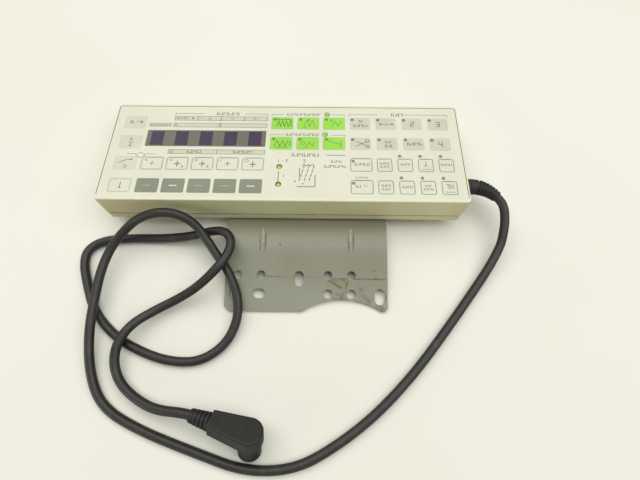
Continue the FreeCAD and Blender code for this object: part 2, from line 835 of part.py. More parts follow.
def make_plug_body():
    """Teardrop body with a round nose across its far end."""
    half = plug_thick / 2
    distance = math.hypot(plug_length, plug_neck)
    angle = math.atan2(plug_neck, -plug_length) - math.acos(plug_round / distance)
    touch = (plug_round * math.cos(angle), plug_round * math.sin(angle))
    corners = [V(-plug_length, -plug_neck, -half), V(-plug_length, plug_neck, -half)]
    upper = V(touch[0], touch[1], -half)
    lower = V(touch[0], -touch[1], -half)
    outline = Part.Wire([
        Part.makeLine(corners[0], corners[1]),
        Part.makeLine(corners[1], upper),
        Part.Arc(upper, V(plug_round, 0, -half), lower).toShape(),
        Part.makeLine(lower, corners[0]),
    ])
    body = Part.Face(outline).extrude(V(0, 0, plug_thick))
    rims = []
    for edge in body.Edges:
        box = edge.BoundBox
        if box.ZLength < tiny and box.XMax > -plug_length + tiny:
            rims.append(edge)
    body = body.makeFillet(plug_edge, rims)
    body = body.fuse(rod(0, 0, nose_radius, nose_end, 0))
    dimple = rod(plug_dimple_x, 0, plug_dimple[0], half - plug_dimple[1], half)
    return body.cut([rod(0, 0, nose_bore, nose_end, bore_floor), dimple]).removeSplitter()


def make_plug_shell():
    outside = rod(0, 0, nose_bore, nose_end + shell_drop, bore_floor)
    return outside.cut(rod(0, 0, nose_bore - shell_wall, nose_end + shell_drop, bore_floor))


def make_plug_insert():
    return rod(0, 0, nose_bore - shell_wall, bore_floor - insert_height, bore_floor)


def make_plug_pins():
    top = bore_floor - insert_height
    solids = []
    for i in range(pin_count):
        angle = 2 * math.pi * i / pin_count
        x = pin_circle * math.cos(angle)
        y = pin_circle * math.sin(angle)
        solids.append(rod(x, y, pin_radius, top - pin_length, top))
    return Part.makeCompound(solids)


def make_plug_boot():
    along = V(1, 0, 0)
    start = -plug_length - boot_length
    pieces = []
    for i in range(boot_ribs):
        share = i / (boot_ribs - 1)
        radius = boot_rib_first + (boot_rib_last - boot_rib_first) * share
        spot = start + boot_rib_width + (boot_length - 2 * boot_rib_width) * share
        pieces.append(disc((V(spot, 0, 0), along), radius, boot_rib_width))
    core = Part.makeCylinder(boot_core, boot_length, V(start, 0, 0), along)
    return core.fuse(pieces).removeSplitter()


def lead_points():
    start, direction = relief_at(relief_length)
    end = plug_place.multVec(V(-plug_length - boot_length, 0, 0))
    along = plug_place.Rotation.multVec(V(1, 0, 0))
    points = [start, start + direction * lead_first_run]
    points += [V(*spot) for spot in lead_route]
    return points + [end - along * lead_last_run, end]


keys = key_list()
front_cover = stand(make_front_cover(keys))
rear_cover = stand(make_rear_cover())
save("front_cover", front_cover)
save("rear_cover", rear_cover)
save("film", stand(make_film(keys)))
save("display_window", stand(make_window()))
save("circuit_board", stand(make_board()))
save("digit_modules", stand(make_digits()))
save("push_switches", stand(make_switches(keys)))
save("key_lamps", stand(make_key_lamps(keys)))
save("round_lamps", stand(make_round_lamps()))
save("board_connector", stand(make_connector()))
save("wires", stand(make_wires()))
save("case_screws", stand(make_case_screws()))
save("board_screws", stand(make_board_screws()))
save("bracket", stand(make_bracket()))
save("bracket_screws", stand(make_bracket_screws()))
for name, x, y, width, height in keys:
    save(name, stand(make_key(x, y, width, height)))
save("lead_relief", make_relief([front_cover, rear_cover]))
save("lead", tube(lead_points(), lead_radius, "lead"))
save("plug_boot", on_plug(make_plug_boot()))
save("plug_body", on_plug(make_plug_body()))
save("plug_shell", on_plug(make_plug_shell()))
save("plug_insert", on_plug(make_plug_insert()))
save("plug_pins", on_plug(make_plug_pins()))
print("tilt %.3f shift %.3f %.3f" % (math.degrees(tilt), shift_y, shift_z))
for point in (lead_points()[0], lead_points()[1], lead_points()[-2], lead_points()[-1]):
    print("lead end %.2f %.2f %.2f" % (point.x, point.y, point.z))
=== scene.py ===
import json
import math

import bmesh
import bpy
from mathutils import Matrix, Vector


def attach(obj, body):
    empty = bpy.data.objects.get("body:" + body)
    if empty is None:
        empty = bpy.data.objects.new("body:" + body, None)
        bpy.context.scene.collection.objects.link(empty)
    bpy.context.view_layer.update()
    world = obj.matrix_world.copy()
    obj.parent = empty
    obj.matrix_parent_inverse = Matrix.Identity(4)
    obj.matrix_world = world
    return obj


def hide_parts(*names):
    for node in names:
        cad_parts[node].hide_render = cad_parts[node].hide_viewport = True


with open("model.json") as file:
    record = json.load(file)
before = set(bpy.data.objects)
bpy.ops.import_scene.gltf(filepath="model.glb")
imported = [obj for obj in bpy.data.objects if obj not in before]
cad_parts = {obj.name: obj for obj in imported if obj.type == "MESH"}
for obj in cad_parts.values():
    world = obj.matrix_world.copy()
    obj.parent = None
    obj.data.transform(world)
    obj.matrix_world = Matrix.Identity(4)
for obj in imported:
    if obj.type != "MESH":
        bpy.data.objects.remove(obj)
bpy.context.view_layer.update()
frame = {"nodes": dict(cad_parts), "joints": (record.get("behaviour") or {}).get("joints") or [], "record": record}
nodes = frame["nodes"]
mm = 0.001


def tint(red, green, blue):
    """Linear colour from display values of 0 to 255, by the usual display curve."""
    def linear(value):
        share = value / 255
        return share / 12.92 if share <= 0.04045 else ((share + 0.055) / 1.055) ** 2.4
    return (linear(red), linear(green), linear(blue), 1.0)


# Camera, from a fit of the face's corners, with its lens in pixels of the photograph
camera_place = (0.024401, -0.115601, 0.272687)
camera_turn = (19.2526, 0.1599, 0.6576)
sensor_width = 36.0
photo_width = 640
lens_pixels = 450
camera_lens = sensor_width * lens_pixels / photo_width

# Light: a dim fill from the world, a large soft lamp overhead and a weak one low on the left
world_color = tint(246, 246, 240)
fill_strength = 0.17
lamp_aim = (0, 0, 0)
lamp_place = (0.2, 0.4, 2.0)
lamp_size = (5.0, 2.0)
lamp_power = 68.5
side_place = (-1.4, -0.7, 0.3)
side_size = (0.8, 0.8)
side_power = 5.0

# Floor: how far it reaches to each side, in metres
floor_reach = 1.6

# Lead: its radius in mm and its route in mm, from the relief at the case to the boot of the plug. The
# route is that of the part's source, with some points moved to follow the photograph.
lead_radius = 2.75
lead_route = (
    (132.29, 2.69, 17.17), (135.07, -0.14, 16.67),
    (136.6, -5.3, 15.6), (136.7, -12.6, 13.5), (135.8, -18.9, 11.3), (134.3, -25.8, 8.8),
    (127, -38.8, 5.3), (115.5, -54.8, 2.8), (97.5, -78.1, 2.8), (77.5, -102.6, 2.8), (54.6, -125.3, 2.8),
    (31.2, -142.1, 2.8), (9.9, -152.8, 2.8), (-16.5, -153.9, 2.8), (-42.5, -145.6, 2.8),
    (-76.5, -134.1, 2.8), (-98.9, -122.5, 2.8), (-108.3, -105.5, 4), (-111.5, -82.1, 8),
    (-110.8, -60.1, 9.5), (-109.5, -43.1, 10), (-104.5, -29.1, 12), (-93.4, -17.7, 17.5),
    (-83, -14.1, 23.5), (-71.5, -12.8, 26.5), (-61, -13.6, 24.5), (-52.3, -18.1, 19.2),
    (-46, -26.1, 14.7), (-39.7, -35.1, 11.8), (-31.7, -45.4, 10.5), (-26, -59.1, 8.2), (-25.5, -73.1, 5),
    (-32.2, -87.3, 2.8), (-45.5, -96.6, 2.8), (-60, -97.5, 2.8), (-75.8, -94, 2.8), (-96.8, -84.4, 2.8),
    (-113, -68.6, 2.8), (-120.8, -49.9, 2.8), (-124.4, -39.1, 2.8), (-124.3, -30.6, 2.8),
    (-118.5, -24.9, 2.8), (-108.5, -22.1, 2.8), (-93, -21.6, 3.3), (-74, -22.1, 5), (-57, -21.5, 8.2),
    (-45, -19.3, 11.8), (-35.5, -20.3, 15.2), (-30.5, -26.6, 16.6), (-31.8, -35.8, 17.4),
    (-39, -46.1, 17.3), (-49.7, -54.9, 12.2), (-61.7, -61, 7), (-75.7, -68.1, 6), (-87.2, -76.9, 9.2),
    (-93.6, -87.7, 9.2), (-94.5, -99.1, 7.2), (-89.5, -109.7, 6), (-79.5, -117.5, 7),
    (-66.5, -123.3, 9.8),
    (-49.73, -124.48, 13.01), (-45.90, -125.58, 13.43),
)

# The face: mm to the right and to the rear of the middle of its front edge, and out of it
film_setback = 2.65
out = -Vector(frame["joints"][0]["axis"])
right = Vector((1, 0, 0))
rear = out.cross(right)
film_spots = [v.co for v in nodes["film"].data.vertices]
face_level = max(spot.dot(out) for spot in film_spots)
face_front = min(spot.dot(rear) for spot in film_spots) - film_setback * mm
from_face = Matrix((right, rear, out)).transposed().to_4x4()
from_face.translation = out * face_level + rear * face_front
from_face = from_face @ Matrix.Scale(mm, 4)
to_face = from_face.inverted()

# The case: darker and yellower on its walls below its top as painted shade, with painted shade in the gap between
# the film and the rim and in the parting line
wall_shade_below = 1.2 * mm
gap_shade_depth = 0.06 * mm
gap_depth = 1.0 * mm
gap_width = 0.45 * mm
gap_edge_x = max(spot.x for spot in film_spots) + gap_width
gap_edge_rear = max(spot.dot(rear) for spot in film_spots) - face_front + gap_width
edge_blur = 0.02 * mm
seam_depths = (15.4 * mm, 16.4 * mm)

# Marks on the bracket, in mm seen from above: a colour, the ends, half the width and the strength. The marks on
# the gussets are painted highlights and painted shade.
scribed = tint(86, 81, 60)
stain = tint(120, 114, 76)
smear_and_gusset_shade = tint(78, 69, 48)
rust = tint(112, 84, 58)
gusset_highlight = tint(190, 191, 174)
bracket_streaks = (
    (scribed, (-10.1, -46.2), (62.5, -47.7), 0.5, 0.35),
    (scribed, (-10.1, -46.2), (-0.3, -46.5), 0.6, 0.6),
    (scribed, (29.6, -47.3), (62.5, -47.6), 0.7, 0.8),
    (stain, (32.0, -54.0), (57.0, -55.0), 8.0, 0.4),
    (stain, (29.8, -48.8), (39.0, -48.8), 1.6, 0.6),
    (stain, (39.0, -48.6), (36.6, -59.1), 2.4, 0.7),
    (smear_and_gusset_shade, (27.7, -48.2), (35.9, -52.8), 1.1, 0.75),
    (smear_and_gusset_shade, (29.8, -48.1), (38.0, -48.3), 0.8, 0.6),
    (smear_and_gusset_shade, (39.4, -49.0), (38.6, -52.5), 1.3, 0.55),
    (smear_and_gusset_shade, (31.2, -58.9), (37.7, -59.5), 0.7, 0.7),
    (smear_and_gusset_shade, (31.2, -55.3), (35.5, -57.8), 0.7, 0.5),
    (smear_and_gusset_shade, (37.6, -55.5), (35.8, -58.5), 1.0, 0.5),
    (smear_and_gusset_shade, (47.8, -53.0), (48.3, -54.0), 1.3, 0.7),
    (smear_and_gusset_shade, (49.4, -57.7), (53.3, -61.4), 1.5, 0.7),
    (smear_and_gusset_shade, (55.5, -42.3), (56.6, -42.4), 0.6, 0.8),
    (smear_and_gusset_shade, (55.6, -47.3), (57.4, -47.3), 0.9, 0.7),
    (smear_and_gusset_shade, (62.7, -56.1), (62.6, -60.8), 0.9, 0.5),
    (rust, (58.1, -63.4), (61.0, -65.6), 2.4, 0.75),
    (smear_and_gusset_shade, (-2.2, -27.1), (-1.7, -27.1), 1.1, 0.8),
    (smear_and_gusset_shade, (41.4, -22.9), (41.8, -22.9), 0.7, 0.9),
    # Painted highlight down each gusset's ridge, with painted shade on either side of it.
    (gusset_highlight, (-12.5, -17.0), (-12.4, -24.6), 1.0, 0.5),
    (smear_and_gusset_shade, (-14.4, -24.0), (-14.0, -30.5), 0.8, 0.45),
    (smear_and_gusset_shade, (-10.8, -20.0), (-10.6, -30.5), 0.8, 0.4),
    (gusset_highlight, (41.6, -17.0), (41.6, -24.0), 1.0, 0.5),
    (smear_and_gusset_shade, (40.0, -25.0), (40.4, -30.0), 0.9, 0.5),
    (smear_and_gusset_shade, (43.3, -21.4), (43.2, -30.0), 0.8, 0.35),
)

# Where the bracket gets a painted highlight, at the bend, and where it gets paler as painted light, towards the
# free edge
bend_front = (-34 * mm, -26 * mm)
bend_rear = (-13 * mm, -20 * mm)
pale_edge = (-40 * mm, -64 * mm)

# Shine of ink, of the film and the black plastic, and of the window and what lies on it
ink_shine = 0.5
film_shine = 0.35
window_shine = 0.25

# Milky lamps: how far light of each colour goes into them, as shares of a length
milky_reach = (1.0, 1.0, 0.4)
milky_length = 2 * mm

# Print, in mm: the depth and height of ink, line widths, and the marks over small lamps
ink_low = -0.06
ink_top = 0.03
line_width = 0.3
fine_line = 0.25
rule_tick = 1.3
lens_ring = 0.9
lens_line = 0.36
lens_dot = 0.5

# Rows of strokes: their least pitch in mm, their pitch and the place of those that lie across as shares of
# their height, and their weight as a share of the pitch
least_pitch = 0.7
stroke_pitch = 0.42
stroke_across = 0.3
stroke_weight = 0.38

# Dashes: their share of the pitch
dash_share = 0.6

# Numerals: strokes on a grid one unit wide and two high
numeral_strokes = {
    1: [[(0.5, 0), (0.5, 2)]],
    2: [[(0, 2), (1, 2), (1, 1), (0, 1), (0, 0), (1, 0)]],
    3: [[(0, 2), (1, 2), (1, 0), (0, 0)], [(0, 1), (1, 1)]],
    4: [[(0, 2), (0, 1), (1, 1)], [(1, 2), (1, 0)]],
    8: [[(0, 0), (1, 0), (1, 2), (0, 2), (0, 0)], [(0, 1), (1, 1)]],
}

# Digits behind the window, in mm
digit_count = 5
digit_pitch = 15.5
digit_height = 8.0
digit_stroke = 0.7
digit_filter_size = (8.2, 11.2)
digit_filter_corner = 0.3


class Surface:
    """A node material with one main shader, in the coordinates of the whole part."""

    def __init__(self, name, roughness, metallic=0.0):
        self.material = bpy.data.materials.new(name)
        self.material.use_nodes = True
        self.tree = self.material.node_tree
        self.shader = self.tree.nodes["Principled BSDF"]
        self.set("Roughness", roughness)
        self.set("Metallic", metallic)
        self.place = self.tree.nodes.new("ShaderNodeTexCoord").outputs["Object"]

    def put(self, socket, value):
        if isinstance(value, bpy.types.NodeSocket):
            self.tree.links.new(value, socket)
        else:
            socket.default_value = value

    def set(self, name, value):
        self.put(self.shader.inputs[name], value)

    def noise(self, scale, detail=3.0, place=None):
        node = self.tree.nodes.new("ShaderNodeTexNoise")
        self.put(node.inputs["Vector"], place or self.place)
        node.inputs["Scale"].default_value = scale
        node.inputs["Detail"].default_value = detail
        return node.outputs["Fac"]

    def stretched(self, scale, turn=(0, 0, 0)):
        """Coordinates that are stretched and turned, for scratches and streaks."""
        node = self.tree.nodes.new("ShaderNodeMapping")
        self.put(node.inputs["Vector"], self.place)
        node.inputs["Rotation"].default_value = turn
        node.inputs["Scale"].default_value = scale
        return node.outputs["Vector"]

    def between(self, value, low, high):
        """0 up to low, 1 from high on, with a smooth step between them. Low may be the greater one."""
        node = self.tree.nodes.new("ShaderNodeMapRange")
        node.interpolation_type = "SMOOTHSTEP"
        self.put(node.inputs["Value"], value)
        node.inputs["From Min"].default_value = low
        node.inputs["From Max"].default_value = high
        return node.outputs["Result"]

    def scaled(self, value, low, high):
        """A value of 0 to 1 as one of low to high."""
        node = self.tree.nodes.new("ShaderNodeMapRange")
        self.put(node.inputs["Value"], value)
        node.inputs["To Min"].default_value = low
        node.inputs["To Max"].default_value = high
        return node.outputs["Result"]

    def math(self, operation, first, second):
        node = self.tree.nodes.new("ShaderNodeMath")
        node.operation = operation
        self.put(node.inputs[0], first)
        self.put(node.inputs[1], second)
        return node.outputs["Value"]

    def times(self, first, second):
        return self.math("MULTIPLY", first, second)

    def along(self, axis):
        node = self.tree.nodes.new("ShaderNodeSeparateXYZ")
        self.put(node.inputs["Vector"], self.place)
        return node.outputs[axis]

    def across(self, direction, start):
        """Distance along a direction, from a start."""
        node = self.tree.nodes.new("ShaderNodeVectorMath")
        node.operation = "DOT_PRODUCT"
        self.put(node.inputs[0], self.place)
        node.inputs[1].default_value = direction
        return self.math("SUBTRACT", node.outputs["Value"], start)

    def streak(self, start, end, half_width):
        """1 along a line seen from above, in mm, and 0 beyond half its width and past its ends."""
        first = Vector(start) * mm
        last = Vector(end) * mm
        reach = half_width * mm
        ahead = (last - first).normalized()
        aside = Vector((-ahead.y, ahead.x))
        offset = self.math("ABSOLUTE", self.across((*aside, 0), first.dot(aside)), 0)
        run = self.across((*ahead, 0), first.dot(ahead))
        length = (last - first).length
        ends = self.times(self.between(run, -reach, 0), self.between(run, length + reach, length))
        return self.times(self.between(offset, reach, reach / 3), ends)

    def mix(self, share, first, second):
        """A mix of two colours, which the node takes at inputs 6 and 7 and gives at output 2."""
        node = self.tree.nodes.new("ShaderNodeMix")
        node.data_type = "RGBA"
        self.put(node.inputs["Factor"], share)
        self.put(node.inputs[6], first)
        self.put(node.inputs[7], second)
        return node.outputs[2]

    def bump(self, height, distance, strength):
        node = self.tree.nodes.new("ShaderNodeBump")
        self.put(node.inputs["Height"], height)
        node.inputs["Distance"].default_value = distance
        node.inputs["Strength"].default_value = strength
        before = self.shader.inputs["Normal"].links
        if before:
            self.put(node.inputs["Normal"], before[0].from_socket)
        self.set("Normal", node.outputs["Normal"])


def case_plastic(name):
    """Cream plastic with a spark texture, darker and yellower on its walls as painted shade, with painted shade in
    its gaps.
    """
    s = Surface(name, 0.5)
    height = s.across(out, face_level)
    patches = s.between(s.noise(28, 4), 0.35, 0.7)
    top = s.mix(patches, tint(233, 232, 206), tint(229, 227, 196))
    wall = s.mix(patches, tint(222, 218, 175), tint(216, 210, 162))
    # Painted shade: below the top, the walls take a darker, yellower copy of the top colour.
    shade = s.mix(s.between(height, -wall_shade_below / 4, -wall_shade_below), top, wall)
    specks = s.between(s.noise(900, 2), 0.66, 0.74)
    shade = s.mix(s.times(specks, 0.3), shade, tint(150, 138, 100))
    # Painted shade: the gap between the film and the rim is darkened from just below the top.
    sunk = s.times(
        s.between(height, -gap_shade_depth, -2 * gap_shade_depth),
        s.between(height, -gap_depth, -gap_depth / 2),
    )
    beside = s.between(s.math("ABSOLUTE", s.along("X"), 0), gap_edge_x, gap_edge_x - edge_blur)
    depth = s.across(rear, face_front)
    before = s.between(depth, gap_edge_rear, gap_edge_rear - edge_blur)
    behind = s.between(depth, film_setback * mm / 2, film_setback * mm)
    gap = s.times(s.times(beside, sunk), s.times(before, behind))
    shade = s.mix(gap, shade, tint(70, 60, 36))
    # Painted shade: the parting line is darkened, more in some patches than in others.
    upper, lower = seam_depths
    seam = s.times(
        s.between(height, -upper, -upper - edge_blur),
        s.between(height, -lower - edge_blur, -lower),
    )
    seam_shade_share = s.scaled(s.between(s.noise(55, 3), 0.4, 0.6), 0.3, 1.0)
    s.set("Base Color", s.mix(s.times(seam, seam_shade_share), shade, tint(84, 74, 48)))
    s.set("Roughness", s.scaled(s.noise(60, 3), 0.42, 0.6))
    s.bump(s.noise(2600, 2), 0.00004, 0.5)
    return s.material


def printed_film(name, color, darker):
    """Matt film with a fine grain and faint handling marks."""
    s = Surface(name, 0.48)
    s.set("Specular IOR Level", film_shine)
    patches = s.between(s.noise(35, 5), 0.4, 0.72)
    shade = s.mix(s.times(patches, 0.6), color, darker)
    smudges = s.between(s.noise(140, 4), 0.58, 0.75)
    shade = s.mix(s.times(smudges, 0.25), shade, darker)
    s.set("Base Color", shade)
    s.set("Roughness", s.scaled(s.noise(220, 3), 0.42, 0.58))
    s.bump(s.noise(4200, 2), 0.00002, 0.4)
    return s.material


def ink(name, color, worn, shine=ink_shine):
    """Screen printed ink, a little thin in places."""
    s = Surface(name, 0.5)
    s.set("Specular IOR Level", shine)
    s.set("Base Color", s.mix(s.between(s.noise(700, 4), 0.52, 0.8), color, worn))
    s.bump(s.noise(5000, 1), 0.00001, 0.3)
    return s.material


def smoked_window():
    """Smoked window with a grey mask, hazy from wiping."""
    s = Surface("smoked_window", 0.3)
    s.set("Specular IOR Level", window_shine)
    haze = s.noise(1, 4, s.stretched((60, 900, 60)))
    s.set("Base Color", s.mix(haze, tint(106, 104, 91), tint(116, 115, 101)))
    s.set("Roughness", s.scaled(s.noise(400, 3), 0.22, 0.38))
    return s.material


def digit_filter():
    """Dark violet filter over a digit."""
    s = Surface("digit_filter", 0.24)
    s.set("Specular IOR Level", window_shine)
    s.set("Base Color", s.mix(s.noise(300, 3), tint(56, 46, 70), tint(68, 56, 78)))
    s.set("Roughness", s.scaled(s.noise(500, 2), 0.2, 0.32))
    return s.material


def round_lamp(name, color, core, milky=0.0):
    """Tinted, cloudy lamp that lets light in as far as it is milky."""
    s = Surface(name, 0.3)
    s.set("Base Color", s.mix(s.between(s.noise(1100, 2), 0.45, 0.62), color, core))
    s.set("Coat Weight", 0.4)
    s.set("Subsurface Weight", milky)
    s.set("Subsurface Radius", milky_reach)
    s.set("Subsurface Scale", milky_length)
    s.bump(s.noise(900, 1), 0.00003, 0.4)
    return s.material


def bracket_paint():
    """Grey paint with painted highlights at the bend and on the gussets, painted shade beside the gussets, painted
    light towards the free edge, a scribed line, and grime near the holes.
    """
    s = Surface("bracket_paint", 0.45)
    clouds = s.between(s.noise(26, 5), 0.3, 0.75)
    color = s.mix(clouds, tint(134, 135, 114), tint(124, 124, 103))
    streaks = s.between(s.noise(1, 4, s.stretched((1800, 90, 90), (0, 0, 0.3))), 0.62, 0.78)
    color = s.mix(s.times(streaks, 0.25), color, tint(166, 167, 150))
    y = s.along("Y")
    # Painted highlight: a lighter band along the bend.
    bend = s.times(s.between(y, *bend_front), s.between(y, *bend_rear))
    color = s.mix(s.times(bend, 0.25), color, tint(160, 162, 145))
    # Painted light: paler towards the free edge, away from the case's shade.
    color = s.mix(s.times(s.between(y, *pale_edge), 0.5), color, tint(151, 152, 135))
    # Patchy strength for every mark, the painted highlights and painted shade among them.
    worn = s.scaled(s.between(s.noise(330, 5), 0.34, 0.62), 0.35, 1.0)
    for mark, start, end, half_width, strength in bracket_streaks:
        share = s.times(s.streak(start, end, half_width), s.times(worn, strength))
        color = s.mix(share, color, mark)
    s.set("Base Color", color)
    s.set("Roughness", s.scaled(s.noise(80, 4), 0.38, 0.58))
    s.bump(s.noise(1700, 3), 0.00003, 0.5)
    s.bump(s.noise(70, 2), 0.0004, 0.25)
    return s.material


def black_sheath(name, color, dusty, roughness):
    """Soft black plastic with dust and dull scuffs."""
    s = Surface(name, roughness)
    s.set("Specular IOR Level", film_shine)
    dust = s.between(s.noise(160, 5), 0.5, 0.78)
    s.set("Base Color", s.mix(s.times(dust, 0.7), color, dusty))
    s.set("Roughness", s.scaled(s.noise(260, 4), roughness - 0.08, roughness + 0.12))
    s.bump(s.noise(2400, 2), 0.00004, 0.5)
    return s.material


def moulded(name, color, other, roughness=0.5):
    """Plain moulded piece with a slight mottle."""
    s = Surface(name, roughness)
    s.set("Base Color", s.mix(s.between(s.noise(500, 4), 0.35, 0.7), color, other))
    s.bump(s.noise(3000, 2), 0.00003, 0.4)
    return s.material


def plated(name, color, dull, roughness=0.3):
    """Plated metal, duller in patches."""
    s = Surface(name, roughness, 1.0)
    s.set("Base Color", s.mix(s.between(s.noise(700, 4), 0.4, 0.75), color, dull))
    s.set("Roughness", s.scaled(s.noise(900, 3), roughness - 0.08, roughness + 0.15))
    s.bump(s.noise(4000, 2), 0.00002, 0.4)
    return s.material


def floor_paper():
    """Pale warm paper."""
    s = Surface("floor_paper", 0.85)
    s.set("Base Color", s.mix(s.between(s.noise(4, 3), 0.3, 0.7), tint(243, 242, 230), tint(239, 238, 224)))
    return s.material


case_material = case_plastic("case_plastic")
film_material = printed_film("film", tint(229, 229, 208), tint(220, 219, 195))
left_film = printed_film("left_keys", tint(217, 217, 195), tint(207, 206, 184))
grey_film = printed_film("grey_keys", tint(209, 209, 187), tint(200, 199, 178))
minus_film = printed_film("minus_keys", tint(136, 140, 120), tint(127, 131, 111))
green_film = printed_film("green_keys", tint(160, 222, 80), tint(148, 208, 68))
outline_film = printed_film("outline_keys", tint(224, 225, 204), tint(216, 217, 194))
dark_ink = ink("dark_ink", tint(52, 51, 44), tint(82, 81, 70))
pale_ink = ink("pale_ink", tint(206, 205, 182), tint(216, 215, 193))
leaf_ink = ink("leaf_ink", tint(64, 112, 40), tint(92, 148, 54))
segment_ink = ink("segment_ink", tint(66, 55, 79), tint(61, 51, 75), window_shine)
white_ink = ink("white_ink", tint(233, 234, 220), tint(205, 207, 192))
green_ink = round_lamp("green_mark", tint(166, 214, 92), tint(112, 164, 56))
lead_material = black_sheath("lead_sheath", tint(32, 30, 27), tint(58, 55, 48), 0.39)
plug_material = black_sheath("plug_plastic", tint(20, 22, 18), tint(36, 37, 32), 0.55)
steel = plated("screw_steel", tint(190, 190, 184), tint(150, 148, 138))

shaded_left_keys = ("left_key_1", "left_key_2", "left_key_3")
key_materials = {
    "keys_grey": grey_film, "keys_minus": minus_film, "keys_green": green_film,
    "keys_outline": outline_film,
}
node_materials = {
    "front_cover": case_material,
    "rear_cover": case_material,
    "film": film_material,
    "display_window": smoked_window(),
    "circuit_board": moulded("solder_mask", tint(30, 96, 58), tint(24, 80, 50), 0.35),
    "digit_modules": moulded("digit_housing", tint(118, 116, 108), tint(104, 102, 96)),
    "push_switches": moulded("switch_plastic", tint(46, 46, 46), tint(60, 60, 60)),
    "key_lamps": moulded("key_lamps", tint(226, 222, 190), tint(206, 202, 166), 0.25),
    "round_lamps": round_lamp("round_lamps", tint(196, 202, 96), tint(160, 168, 66), 0.8),
    "board_connector": moulded("connector_nylon", tint(226, 220, 200), tint(214, 206, 184)),
    "wires": black_sheath("wire_sleeve", tint(48, 47, 46), tint(66, 65, 62), 0.5),
    "case_screws": steel,
    "board_screws": steel,
    "bracket_screws": steel,
    "bracket": bracket_paint(),
    "lead_relief": plug_material,
    "plug_boot": plug_material,
    "plug_body": plug_material,
    "plug_shell": plated("plug_nickel", tint(205, 203, 196), tint(168, 165, 156), 0.25),
    "plug_insert": moulded("plug_insert", tint(40, 40, 40), tint(54, 54, 52)),
    "plug_pins": plated("plug_gold", tint(214, 180, 96), tint(180, 146, 72), 0.22),
}
slot_of = {row["node"]: row["material_slot"] for row in frame["record"]["subparts"]}
key_names = [name for name in nodes if "_key_" in name]
for name in key_names:
    node_materials[name] = key_materials[slot_of[name]]
for name in shaded_left_keys:
    node_materials[name] = left_film
for name, material in node_materials.items():
    for slot in nodes[name].material_slots:
        slot.material = material


